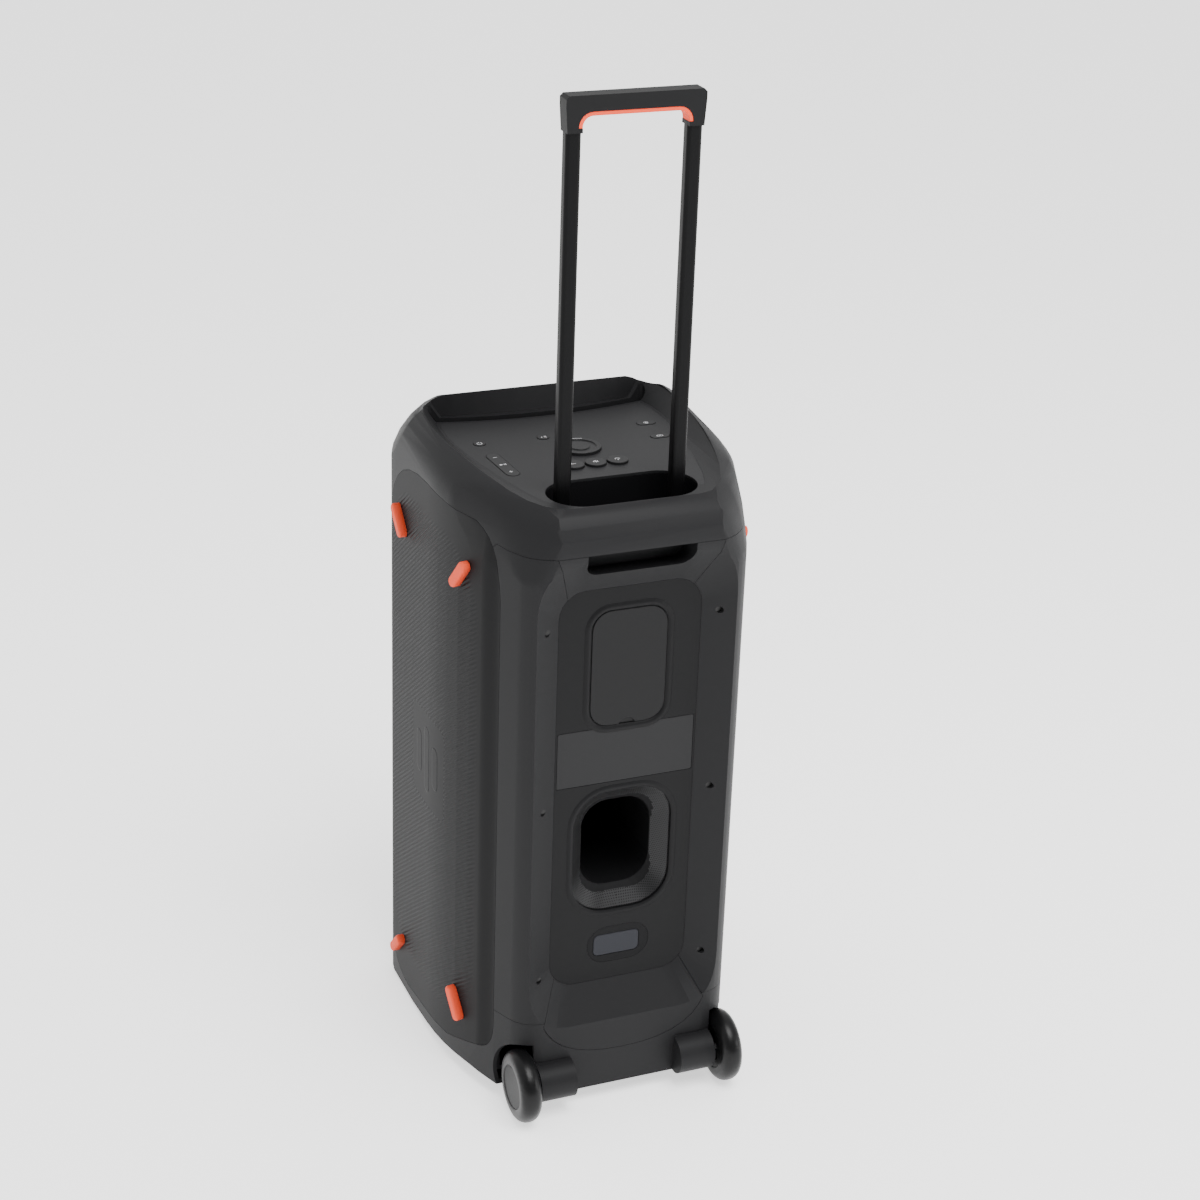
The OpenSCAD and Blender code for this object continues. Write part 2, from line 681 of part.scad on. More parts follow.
module bottom_shell() color(dark) difference() {
    union() {
        intersection() {
            difference() {
                lower_form(0);
                lower_form(skin);
            }
            translate([-200, panel_front_y + 0.2 - seam, 0]) cube([400, 330, boot_z]);
        }
        intersection() {
            for (s = [-1, 1]) {
                x0 = s > 0 ? pod_x[0] : -pod_x[1];
                translate([x0, axle_y, axle_z]) rotate([0, 90, 0])
                    cylinder(h = pod_x[1] - pod_x[0], r = pod_r);
                translate([x0, 110, 22]) cube([pod_x[1] - pod_x[0], axle_y - 108, axle_z + pod_r - 22]);
            }
            translate([-200, 100, 10]) cube([400, 100, 60]);
        }
        for (s = [-1, 1]) translate([s * 95, axle_y, axle_z]) rotate([0, s * 90, 0]) cylinder(h = 5, r = 9);
    }
    along_x(-half_w - 1, half_w + 1) polygon(panel_outline(seam));
    along_y(100, 160) polygon(apron_outline(seam));
    difference() {
        wheel_arch();
        for (s = [-1, 1]) translate([s * 95, axle_y, axle_z]) rotate([0, s * 90, 0]) cylinder(h = 5, r = 9);
    }
    for (s = [-1, 1]) translate([s * axle_root, axle_y, axle_z]) rotate([0, s * 90, 0])
        cylinder(h = 60, r = axle_r);
    for (s = [-1, 1]) translate([s * 110, foot_y, 0]) cylinder(h = 13, r = 4);
}
foot_y = -130;

module front_feet() color(black) for (s = [-1, 1]) translate([s * 110, foot_y, 0]) {
    cylinder(h = bottom_front_z, r = 14);
    cylinder(h = bottom_front_z + 4, r = 4);
}

axle_root = 66;
module wheel_axles() color(steel) for (s = [-1, 1]) translate([s * axle_root, axle_y, axle_z])
    rotate([0, s * 90, 0]) {
        cylinder(h = wheel_x + 5.5 - axle_root, r = axle_r);
        translate([0, 0, wheel_x + 3.5 - axle_root]) cylinder(h = 2, r = axle_r + 3);
    }

module battery_pack() color([0.25, 0.3, 0.4]) translate([-75, -70, 34.2]) cube([150, 110, 42]);

module amplifier_board() {
    color(board_green) translate([-44, 74, 400]) cube([88, 1.8, 170]);
    color(steel) translate([-30, 60, 430]) cube([60, 14, 90]);
}

module power_supply() {
    color(board_green) translate([-44, 20, 100]) cube([88, 60, 1.8]);
    color(dark) translate([-30, 32, 101.8]) cube([36, 34, 30]);
    color(steel) for (x = [16, 32]) translate([x, 48, 101.8]) cylinder(h = 34, r = 7);
}

screw_spots = [[-90, 540], [90, 540], [-90, 345], [90, 345], [-90, 150], [90, 150]];
screw_y = 124;
head_r = 3.5;
shank_r = 1.8;
module screw_forms(head_h) {
    for (p = screw_spots) translate([p[0], screw_y, p[1]]) rotate([-90, 0, 0]) {
        cylinder(h = head_h, r = head_r);
        translate([0, 0, -10]) cylinder(h = 10, r = shank_r);
    }
}
module case_screws() color(steel) screw_forms(3);

module pole_outline() polygon(round_rect(pole_w, pole_d, 3.7));

// The upper end of each pole is cut narrow so that it passes outside the liner
neck_z = grip_top - leg_h + 3;
module pole_forms(z0) for (s = [-1, 1]) {
    translate([s * pole_x, pole_y, z0]) linear_extrude(neck_z - z0) pole_outline();
    intersection() {
        translate([s * pole_x, pole_y, neck_z - 1]) linear_extrude(grip_top - 15 - neck_z) pole_outline();
        translate([s * (arch_x + liner_t + 10.2), pole_y, neck_z + 10]) cube([20, 40, 60], center = true);
    }
}

module handle_poles() color(black) pole_forms(pole_bottom);

liner_t = 4;
arch_x = 52;
module handle_grip() color(dark) difference() {
    along_y(pole_y - grip_d / 2, pole_y + grip_d / 2) difference() {
        translate([0, grip_top - leg_h]) polygon(both([
            [arch_x, 0], [grip_w / 2 - 1.7, 0], [grip_w / 2, leg_h - 10], [grip_w / 2, leg_h - 3],
            [grip_w / 2 - 3, leg_h]]));
        translate([0, grip_top - leg_h - 1]) polygon(both(concat(
            [[arch_x, 0], [arch_x, 5], [arch_x + liner_t, 5]],
            arc(arch_x + liner_t - 14, leg_h - 28, 14, 0, 90, 6))));
    }
    pole_forms(grip_top - leg_h - 2);
}

module grip_liner() color(coral) along_y(pole_y - grip_d / 2 + 0.4, pole_y + grip_d / 2 - 0.4)
    translate([0, grip_top - leg_h - 1]) difference() {
        polygon(both(concat([[arch_x + liner_t, 5]], arc(arch_x + liner_t - 14, leg_h - 28, 14, 0, 90, 6))));
        polygon(both(concat([[arch_x, 4]], arc(arch_x - 10, leg_h - 28, 10, 0, 90, 6))));
    }

module wheel_place(s) {
    translate([s * (wheel_x - wheel_w / 2), axle_y, axle_z]) rotate([0, s * 90, 0]) children();
}

hub_r = 23;
module wheel_tyre(s) color(black) wheel_place(s) rotate_extrude($fn = 72) polygon(concat(
    [[hub_r + bore_gap, 1], [hub_r + 2, 0]],
    arc(wheel_r - 10.5, 10.5, 10.5, -90, 0, 6), arc(wheel_r - 10.5, wheel_w - 10.5, 10.5, 0, 90, 6),
    [[hub_r + 2, wheel_w], [hub_r + bore_gap, wheel_w - 1]]));

module wheel_hub(s) color(dark) wheel_place(s) difference() {
    translate([0, 0, 1]) cylinder(h = wheel_w - 2, r = hub_r, $fn = 72);
    translate([0, 0, -1]) cylinder(h = wheel_w / 2 + 7, r = axle_r + bore_gap);
    translate([0, 0, wheel_w / 2 + 3]) cylinder(h = 3, r = axle_r + 3.4);
    translate([0, 0, -1]) cylinder(h = 6, r = 16);
}

module port_cover() color(black) difference() {
    along_y(inner_panel_y - 2.6, inner_panel_y + 0.6) translate([0, (door_z[0] + door_z[1]) / 2])
        polygon(round_rect(door_w, door_z[1] - door_z[0], door_r));
    translate([0, inner_panel_y + 1, door_z[0] - 3]) rotate([90, 0, 0]) cylinder(h = 2, r = 9);
}

module inlet_cover() color([0.33, 0.34, 0.37]) along_y(inner_panel_y - 3.8, inner_panel_y + 0.2)
    translate([2, (inlet_z[0] + inlet_z[1]) / 2]) polygon(round_rect(50, 24, 5.5));

module volume_dial() color(dark) on_deck(0, dial_y) difference() {
    union() {
        translate([0, 0, -key_sink]) cylinder(h = key_sink + 2.8, r = dial_r, $fn = 96);
        translate([0, 0, -9]) cylinder(h = 7, r = 3);
    }
    translate([0, 0, 1.8]) difference() {
        cylinder(h = 3, r = dial_r - 5);
        cylinder(h = 3, r = dial_r - 11);
    }
}

module round_key(x, y, r, rise) color(dark) on_deck(x, y) translate([0, 0, -key_sink])
    cylinder(h = key_sink + rise, r = r);

module pill_key(p) color(dark) on_deck(p[0], p[1]) translate([0, 0, -key_sink])
    pill(pill_l, pill_w, key_sink + 0.6);

module function_bar() color(dark) on_deck(bar_at[0], bar_at[1]) rotate([0, 0, bar_turn])
    translate([0, 0, -key_sink]) pill(bar_l, bar_w, key_sink + 0.4);

cabinet_shell();
front_frame();
front_grille();
baffle();
light_ring(woofer_z[1]);  // light_ring_upper
light_ring(woofer_z[0]);  // light_ring_lower
woofer_basket(woofer_z[1]);  // woofer_basket_upper
woofer_basket(woofer_z[0]);  // woofer_basket_lower
woofer_cone(woofer_z[1]);  // woofer_cone_upper
woofer_cone(woofer_z[0]);  // woofer_cone_lower
woofer_magnet(woofer_z[1]);  // woofer_magnet_upper
woofer_magnet(woofer_z[0]);  // woofer_magnet_lower
tweeter(1);  // tweeter_left
tweeter(-1);  // tweeter_right
top_cap();
control_deck();
control_board();
handle_well();
pole_sleeve(1);  // pole_sleeve_left
pole_sleeve(-1);  // pole_sleeve_right
side_panel();  // side_panel_left
mirror([1, 0, 0]) side_panel();  // side_panel_right
side_feet();  // side_feet_left
mirror([1, 0, 0]) side_feet();  // side_feet_right
rear_rail();  // rear_rail_left
mirror([1, 0, 0]) rear_rail();  // rear_rail_right
rear_beam();
rear_apron();
rear_panel();
jack_plate();
jack_sockets();
bass_port();
port_mesh();
inlet_socket();
rating_label();
bottom_shell();
front_feet();
wheel_axles();
battery_pack();
amplifier_board();
power_supply();
case_screws();
handle_poles();
handle_grip();
grip_liner();
wheel_tyre(1);  // wheel_tyre_left
wheel_tyre(-1);  // wheel_tyre_right
wheel_hub(1);  // wheel_hub_left
wheel_hub(-1);  // wheel_hub_right
port_cover();
inlet_cover();
volume_dial();
round_key(key_x[0], key_y, key_r, 2.2);  // key_left
round_key(key_x[1], key_y, key_r, 2.2);  // key_middle
round_key(key_x[2], key_y, key_r, 2.2);  // key_right
round_key(power_at[0], power_at[1], small_r, 0.6);  // power_button
round_key(pairing_at[0], pairing_at[1], small_r, 0.6);  // pairing_button
pill_key(light_at);  // light_button
pill_key(link_at);  // link_button
function_bar();
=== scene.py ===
import json
import math

import bmesh
import bpy
from mathutils import Matrix, Vector

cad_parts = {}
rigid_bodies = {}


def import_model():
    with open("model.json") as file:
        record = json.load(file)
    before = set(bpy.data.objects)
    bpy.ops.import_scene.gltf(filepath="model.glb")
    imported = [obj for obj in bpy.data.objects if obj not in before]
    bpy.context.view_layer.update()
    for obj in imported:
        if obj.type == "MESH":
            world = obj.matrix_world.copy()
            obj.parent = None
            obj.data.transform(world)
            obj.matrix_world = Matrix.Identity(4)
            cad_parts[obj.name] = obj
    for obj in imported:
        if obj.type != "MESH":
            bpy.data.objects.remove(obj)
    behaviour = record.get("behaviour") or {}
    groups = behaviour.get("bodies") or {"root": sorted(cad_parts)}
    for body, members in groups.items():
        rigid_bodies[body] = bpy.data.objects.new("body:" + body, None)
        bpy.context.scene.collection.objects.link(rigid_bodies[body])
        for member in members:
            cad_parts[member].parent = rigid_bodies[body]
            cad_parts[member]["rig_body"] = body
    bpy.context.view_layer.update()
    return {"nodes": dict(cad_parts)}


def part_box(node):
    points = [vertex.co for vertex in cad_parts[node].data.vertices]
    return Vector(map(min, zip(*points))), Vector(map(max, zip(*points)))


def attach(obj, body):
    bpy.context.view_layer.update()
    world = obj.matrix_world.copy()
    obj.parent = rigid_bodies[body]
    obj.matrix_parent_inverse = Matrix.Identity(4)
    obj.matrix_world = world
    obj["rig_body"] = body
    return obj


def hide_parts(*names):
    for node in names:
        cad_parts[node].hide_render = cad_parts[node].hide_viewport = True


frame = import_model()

nodes = frame["nodes"]


# Camera: a long lens behind the speaker's left side, looking down on it and turned 2 degrees on its axis.
# It is placed from its bearing, its height angle and its roll.
bearing, fall, roll = math.radians(157.3), math.radians(24.4), math.radians(2.0)
level = Vector((math.cos(bearing), math.sin(bearing), 0))
upright = Vector((-math.sin(fall) * math.sin(bearing), math.sin(fall) * math.cos(bearing), math.cos(fall)))
right = math.cos(roll) * level + math.sin(roll) * upright
up = math.cos(roll) * upright - math.sin(roll) * level
camera = bpy.data.objects.new("camera", bpy.data.cameras.new("camera"))
camera.data.lens = 74.7
camera.data.sensor_width = 36
camera.data.clip_end = 60
turned = Matrix((right, up, right.cross(up))).transposed().to_4x4()
camera.matrix_world = Matrix.Translation((0.8727, 2.1270, 1.5505)) @ turned
bpy.context.scene.collection.objects.link(camera)
bpy.context.scene.camera = camera


# Studio: a plain pale floor and a white surround that is dim on the camera's side.
# Two soft lamps hang behind the speaker, one above it and one to its right.
bpy.ops.object.select_all(action="DESELECT")
bpy.ops.mesh.primitive_plane_add(size=60)
floor = bpy.context.object
floor.name = "floor"
floor_paint = bpy.data.materials.new("floor_paint")
floor_paint.use_nodes = True
floor_shader = floor_paint.node_tree.nodes["Principled BSDF"]
floor_shader.inputs["Base Color"].default_value = (0.97, 0.97, 0.97, 1)
floor_shader.inputs["Roughness"].default_value = 0.9
floor_shader.inputs["Emission Color"].default_value = (1, 1, 1, 1)
floor_shader.inputs["Emission Strength"].default_value = 1.1
floor_shader.inputs["Specular IOR Level"].default_value = 0.1
floor.data.materials.append(floor_paint)
world = bpy.data.worlds.new("studio")
world.use_nodes = True
surround = world.node_tree
surround_place = surround.nodes.new("ShaderNodeTexCoord")
surround_split = surround.nodes.new("ShaderNodeSeparateXYZ")
surround_fall = surround.nodes.new("ShaderNodeMapRange")
surround_fall.interpolation_type = "SMOOTHSTEP"
surround_fall.inputs["From Min"].default_value = -0.1
surround_fall.inputs["From Max"].default_value = 0.85
surround_fall.inputs["To Min"].default_value = 1.3
surround_fall.inputs["To Max"].default_value = 0.3
surround.links.new(surround_place.outputs["Generated"], surround_split.inputs[0])
surround.links.new(surround_split.outputs["Y"], surround_fall.inputs["Value"])
surround.links.new(surround_fall.outputs["Result"], surround.nodes["Background"].inputs["Strength"])
surround.nodes["Background"].inputs["Color"].default_value = (1, 1, 1, 1)
bpy.context.scene.world = world


def soft_lamp(name, place, aim, width, power):
    data = bpy.data.lights.new(name, "AREA")
    data.shape = "SQUARE"
    data.size = width
    data.energy = power
    lamp = bpy.data.objects.new(name, data)
    lamp.location = place
    lamp.rotation_euler = (Vector(aim) - Vector(place)).to_track_quat("-Z", "Y").to_euler()
    bpy.context.scene.collection.objects.link(lamp)


soft_lamp("top", (-0.3, 1.5, 3.1), (0, 0, 0.6), 1.8, 120)
soft_lamp("fill", (-2.4, 1.9, 0.9), (0, 0, 0.4), 1.2, 26)


# Cabinet mouldings: glass-filled ABS with a fine spark-eroded grain, screwed together from inside.
# The hood, the rear rails, the beam with its finger pocket, the apron and the base meet at open seams.
def grain_group():
    group = bpy.data.node_groups.new("fine_grain", "ShaderNodeTree")
    group.interface.new_socket("Size", in_out="INPUT", socket_type="NodeSocketFloat").default_value = 1400
    group.interface.new_socket("Relief", in_out="INPUT", socket_type="NodeSocketFloat").default_value = 0.3
    group.interface.new_socket("Mask", in_out="OUTPUT", socket_type="NodeSocketFloat")
    group.interface.new_socket("Normal", in_out="OUTPUT", socket_type="NodeSocketVector")
    start, end = group.nodes.new("NodeGroupInput"), group.nodes.new("NodeGroupOutput")
    place = group.nodes.new("ShaderNodeTexCoord")
    noise = group.nodes.new("ShaderNodeTexNoise")
    noise.inputs["Detail"].default_value = 2
    bump = group.nodes.new("ShaderNodeBump")
    bump.inputs["Distance"].default_value = 0.0002
    group.links.new(place.outputs["Object"], noise.inputs["Vector"])
    group.links.new(start.outputs["Size"], noise.inputs["Scale"])
    group.links.new(noise.outputs["Fac"], bump.inputs["Height"])
    group.links.new(start.outputs["Relief"], bump.inputs["Strength"])
    group.links.new(noise.outputs["Fac"], end.inputs["Mask"])
    group.links.new(bump.outputs["Normal"], end.inputs["Normal"])
    return group


fine_grain = grain_group()


def moulding(name, colour, rough, relief=0.3, size=1400):
    """A grained plastic: the grain moves the normal and varies the roughness a little."""
    m = bpy.data.materials.new(name)
    m.use_nodes = True
    tree, shader = m.node_tree, m.node_tree.nodes["Principled BSDF"]
    shader.inputs["Base Color"].default_value = (*colour, 1)
    shader.inputs["Specular IOR Level"].default_value = 0.12
    grain = tree.nodes.new("ShaderNodeGroup")
    grain.node_tree = fine_grain
    grain.inputs["Size"].default_value = size
    grain.inputs["Relief"].default_value = relief
    spread = tree.nodes.new("ShaderNodeMapRange")
    spread.inputs["To Min"].default_value = rough - 0.06
    spread.inputs["To Max"].default_value = rough + 0.06
    tree.links.new(grain.outputs["Mask"], spread.inputs["Value"])
    tree.links.new(spread.outputs["Result"], shader.inputs["Roughness"])
    tree.links.new(grain.outputs["Normal"], shader.inputs["Normal"])
    return m


def paint(node, material):
    nodes[node].data.materials.clear()
    nodes[node].data.materials.append(material)


def softened(node, material, bevel, steps=3, smooth=38):
    """A finer copy of a CAD node: welded, its hard edges rounded and its facets shaded smooth."""
    piece = bpy.data.objects.new(node + "_fine", nodes[node].data.copy())
    bpy.context.scene.collection.objects.link(piece)
    bpy.ops.object.select_all(action="DESELECT")
    bpy.context.view_layer.objects.active = piece
    piece.select_set(True)
    bpy.ops.object.mode_set(mode="EDIT")
    bpy.ops.mesh.select_all(action="SELECT")
    bpy.ops.mesh.remove_doubles(threshold=0.00002)
    bpy.ops.mesh.dissolve_limited(angle_limit=math.radians(1.2))
    bpy.ops.mesh.select_all(action="SELECT")
    bpy.ops.mesh.normals_make_consistent(inside=False)
    bpy.ops.object.mode_set(mode="OBJECT")
    if bevel:
        rounder = piece.modifiers.new("round", "BEVEL")
        rounder.width = bevel
        rounder.segments = steps
        rounder.limit_method = "ANGLE"
        rounder.angle_limit = math.radians(smooth - 6)
        bpy.ops.object.modifier_apply(modifier="round")
    bpy.ops.object.shade_smooth_by_angle(angle=math.radians(smooth))
    weigh = piece.modifiers.new("weigh", "WEIGHTED_NORMAL")
    weigh.keep_sharp = True
    bpy.ops.object.modifier_apply(modifier="weigh")
    piece.select_set(False)
    piece.data.materials.clear()
    piece.data.materials.append(material)
    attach(piece, nodes[node]["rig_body"])
    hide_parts(node)
    return piece


body_plastic = moulding("body_plastic", (0.0125, 0.0125, 0.0133), 0.5)
for name, edge in (("top_cap", 0.0011), ("rear_rail_left", 0.0008), ("rear_rail_right", 0.0008),
                   ("rear_beam", 0.0012), ("rear_apron", 0.0009), ("bottom_shell", 0.0009),
                   ("front_frame", 0.0012)):
    softened(name, body_plastic, edge)


# Side panels: one moulding a side, clipped to the cabinet, ribbed on the slant inside a plain border.
# Three plain raised bars stand in the middle, and the rear edge turns in towards the seam.
rib_pitch, rib_turn = 0.0042, math.radians(37)


def ribbed_panel():
    m = moulding("ribbed_panel", (0.0055, 0.0055, 0.006), 0.58, relief=0.15)
    tree, shader = m.node_tree, m.node_tree.nodes["Principled BSDF"]

    def calc(kind, a, b=None, c=None):
        n = tree.nodes.new("ShaderNodeMath")
        n.operation = kind
        for i, v in enumerate((a, b, c)):
            if v is None:
                continue
            if isinstance(v, (int, float)):
                n.inputs[i].default_value = v
            else:
                tree.links.new(v, n.inputs[i])
        return n.outputs[0]

    def ramp(value, low, high):
        n = tree.nodes.new("ShaderNodeMapRange")
        n.interpolation_type = "SMOOTHSTEP"
        n.inputs["From Min"].default_value = low
        n.inputs["From Max"].default_value = high
        tree.links.new(value, n.inputs["Value"])
        return n.outputs["Result"]

    place = tree.nodes.new("ShaderNodeTexCoord")
    split = tree.nodes.new("ShaderNodeSeparateXYZ")
    tree.links.new(place.outputs["Object"], split.inputs[0])
    y, z = split.outputs["Y"], split.outputs["Z"]

    def box_distance(cy, cz, half_y, half_z, round_r):
        """Distance outside a rounded rectangle in the side view."""
        off_y, off_z = (calc("ABSOLUTE", calc("SUBTRACT", y, cy)), calc("ABSOLUTE", calc("SUBTRACT", z, cz)))
        a = calc("MAXIMUM", calc("SUBTRACT", off_y, half_y - round_r), 0)
        b = calc("MAXIMUM", calc("SUBTRACT", off_z, half_z - round_r), 0)
        squares = calc("ADD", calc("MULTIPLY", a, a), calc("MULTIPLY", b, b))
        return calc("SUBTRACT", calc("SQRT", squares), round_r)

    across = calc("SUBTRACT", calc("MULTIPLY", z, math.cos(rib_turn)),
                  calc("MULTIPLY", y, math.sin(rib_turn)))
    wave = calc("SINE", calc("MULTIPLY", across, 2 * math.pi / rib_pitch))
    inside = ramp(box_distance(-0.045, 0.331, 0.112, 0.272, 0.07), 0.004, -0.01)
    bars = None
    for i, half in enumerate((0.024, 0.037, 0.024)):
        bar = ramp(box_distance(-0.064 + 0.024 * i, 0.33, 0.007, half, 0.0068), 0.0008, -0.0004)
        bars = bar if bars is None else calc("MAXIMUM", bars, bar)
    border = ramp(box_distance(-0.0385, 0.33, 0.047, 0.053, 0.012), 0.0006, -0.0006)
    ribs = calc("MULTIPLY", calc("MULTIPLY", wave, inside), calc("SUBTRACT", 1, border))
    turn_in = ramp(y, 0.074, 0.1015)
    height = calc("ADD", calc("MULTIPLY", ribs, 0.00042), calc("MULTIPLY", bars, 0.0009))
    height = calc("SUBTRACT", height, calc("MULTIPLY", turn_in, 0.0065))
    bump = tree.nodes.new("ShaderNodeBump")
    bump.inputs["Distance"].default_value = 1
    tree.links.new(height, bump.inputs["Height"])
    grain = next(n for n in tree.nodes if n.type == "GROUP")
    tree.links.new(grain.outputs["Normal"], bump.inputs["Normal"])
    tree.links.new(bump.outputs["Normal"], shader.inputs["Normal"])
    return m


panel_plastic = ribbed_panel()
for name in ("side_panel_left", "side_panel_right"):
    softened(name, panel_plastic, 0.0009)


# Side pads: four soft coral rubber pads a side, pushed into pockets in the panel.
# The speaker rests on them when it is laid down.
def rubber(name, colour, rough, relief=0.2):
    m = moulding(name, colour, rough, relief, 900)
    m.node_tree.nodes["Principled BSDF"].inputs["Specular IOR Level"].default_value = 0.18
    return m


coral_rubber = rubber("coral_rubber", (0.78, 0.075, 0.028), 0.6)
pad_half, pad_r, pad_rise, pad_sink, pad_round = 0.0135, 0.0055, 0.0084, 0.003, 0.0024
pad_spots = ((-0.121, 0.5666, -43, 0.1545, 0), (0.043, 0.5745, 52, 0.1461, 12.3),
             (-0.1285, 0.056, 45, 0.1545, 0), (0.041, 0.082, -59, 0.1465, 12))


def joined_faces(name, points, faces, outward=None):
    """A piece from its corners and faces, its normals turned outwards or to the side given."""
    mesh = bpy.data.meshes.new(name)
    mesh.from_pydata(points, [], faces)
    piece = bpy.data.objects.new(name, mesh)
    bpy.context.scene.collection.objects.link(piece)
    work = bmesh.new()
    work.from_mesh(mesh)
    bmesh.ops.recalc_face_normals(work, faces=work.faces)
    if outward and sum(face.normal.dot(Vector(outward)) for face in work.faces) < 0:
        bmesh.ops.reverse_faces(work, faces=work.faces)
    work.to_mesh(mesh)
    work.free()
    return piece


for name, side in (("side_feet_left", 1), ("side_feet_right", -1)):
    points, faces = [], []
    rings = [(0, -pad_sink), (0, pad_rise - pad_round)]
    rings += [(pad_round * (1 - math.cos(a)), pad_rise - pad_round * (1 - math.sin(a)))
              for a in (math.pi * i / 12 for i in range(1, 7))]
    for y, z, turn, x, lean in pad_spots:
        place = (Matrix.Translation((x, y, z)) @ Matrix.Rotation(math.radians(lean), 4, "Z")
                 @ Matrix.Rotation(math.radians(90), 4, "Y")
                 @ Matrix.Rotation(math.radians(90 + turn), 4, "Z"))
        first = len(points)
        for inset, height in rings:
            for i in range(40):
                a = math.radians(-90 + 180 * (i % 20) / 19 + (0 if i < 20 else 180))
                end = pad_half if i < 20 else -pad_half
                across, along = end + (pad_r - inset) * math.cos(a), (pad_r - inset) * math.sin(a)
                at = place @ Vector((across, along, height))
                points.append((side * at.x, at.y, at.z))
        for ring in range(len(rings) - 1):
            low, high = first + ring * 40, first + ring * 40 + 40
            faces += [(low + i, low + (i + 1) % 40, high + (i + 1) % 40, high + i) for i in range(40)]
        faces.append(tuple(first + (len(rings) - 1) * 40 + i for i in range(40)))
        faces.append(tuple(first + i for i in reversed(range(40))))
    pads = joined_faces(name + "_fine", points, faces)
    for polygon in pads.data.polygons:
        polygon.use_smooth = len(polygon.vertices) == 4
    pads.data.materials.append(coral_rubber)
    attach(pads, nodes[name]["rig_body"])
    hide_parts(name)


# Control deck: a satin ABS plate let into the hood and glued down round its edge.
# The keys stand through it, and the handle well behind it is a black lining that the grip sinks into.
deck_plastic = moulding("deck_plastic", (0.0165, 0.0165, 0.0175), 0.48, relief=0.2)
softened("control_deck", deck_plastic, 0.0002)
softened("handle_well", moulding("well_plastic", (0.0035, 0.0035, 0.004), 0.6), 0.0004)


# Keys: a turning dial, three round keys, four small buttons and a long rocker, all satin plastic.
# Their marks are plain generic signs printed in pale grey.
key_plastic = moulding("key_plastic", (0.012, 0.012, 0.0128), 0.4, relief=0.12)
for name in ("key_left", "key_middle", "key_right", "power_button", "pairing_button", "light_button",
             "link_button", "function_bar"):
    softened(name, key_plastic, 0.0006, steps=4, smooth=50)
softened("volume_dial", key_plastic, 0.0007, steps=4, smooth=50)
mark_ink = bpy.data.materials.new("mark_ink")
mark_ink.use_nodes = True
mark_ink.node_tree.nodes["Principled BSDF"].inputs["Base Color"].default_value = (0.62, 0.62, 0.64, 1)
mark_ink.node_tree.nodes["Principled BSDF"].inputs["Roughness"].default_value = 0.5
ink_rise = 0.00006
mm = 0.001


def ring_points(r, a0, a1, n):
    angles = [math.radians(a0 + (a1 - a0) * i / n) for i in range(n + 1)]
    return [(r * mm * math.cos(a), r * mm * math.sin(a)) for a in angles]


def band(r, width, a0=0, a1=360, n=24):
    """Strip of quads along an arc, its sizes in millimetres."""
    inner, outer = ring_points(r - width / 2, a0, a1, n), ring_points(r + width / 2, a0, a1, n)
    return [[inner[i], outer[i], outer[i + 1], inner[i + 1]] for i in range(n)]


def block(x, y, w, h):
    """Rectangle about a middle point, in millimetres."""
    left, right_x, low, high = (x - w / 2) * mm, (x + w / 2) * mm, (y - h / 2) * mm, (y + h / 2) * mm
    return [[(left, low), (right_x, low), (right_x, high), (left, high)]]


def shifted(faces, dx, dy):
    return [[(x + dx * mm, y + dy * mm) for x, y in f] for f in faces]


def ink(name, key, faces, body, turn=0):
    """A flat printed mark on a key. Its up direction points to the front of the speaker."""
    low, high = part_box(key)
    middle_x, middle_y = (low.x + high.x) / 2, (low.y + high.y) / 2
    points, polygons = [], []
    for face in faces:
        polygons.append(tuple(range(len(points), len(points) + len(face))))
        for x, y in face:
            a, b = -x, -y
            points.append((middle_x + a * math.cos(turn) - b * math.sin(turn),
                           middle_y + a * math.sin(turn) + b * math.cos(turn), high.z + ink_rise))
    piece = joined_faces(name, points, polygons, outward=(0, 0, 1))
    piece.data.materials.append(mark_ink)
    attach(piece, body)


ink("mark_power", "power_button", band(2.6, 0.55, 125, 415) + block(0, 2.2, 0.6, 2.4), "power_key")
ink("mark_pairing", "pairing_button",
    band(1.6, 0.5, -50, 50) + band(3.2, 0.5, -50, 50) + shifted(band(0.4, 0.8), -1.4, 0), "pairing_key")
ink("mark_light", "light_button", band(2.2, 0.5) + block(0, 0, 1.4, 1.4), "light_key")
ink("mark_link", "link_button", shifted(band(1.7, 0.5), -1.6, 0) + shifted(band(1.7, 0.5), 1.6, 0),
    "link_key")
ink("mark_key_left", "key_left", block(0, 0, 4.5, 0.7) + block(-1.5, 2, 0.7, 2.6), "effect_key_left")
ink("mark_key_middle", "key_middle", block(-2, 0, 0.8, 3) + block(0, 0, 0.8, 5) + block(2, 0, 0.8, 3),
    "effect_key_middle")
ink("mark_key_right", "key_right", band(2.4, 0.6, 0, 180) + block(0, -1.6, 0.8, 2.4), "effect_key_right")
start_sign = [[(-3 * mm, -1.7 * mm), (0.3 * mm, 0), (-3 * mm, 1.7 * mm)]]
pause_sign = block(1.6, 0, 0.7, 3.2) + block(3.1, 0, 0.7, 3.2)
plus_sign = block(0, -20, 4, 0.7) + block(0, -20, 0.7, 4)
minus_sign = block(0, 20, 4, 0.7)
ink("mark_bar", "function_bar", start_sign + pause_sign + minus_sign + plus_sign, "function_key",
    math.radians(3.4))
ink("mark_dial", "volume_dial", band(19.3, 0.5, 60, 120), "dial")


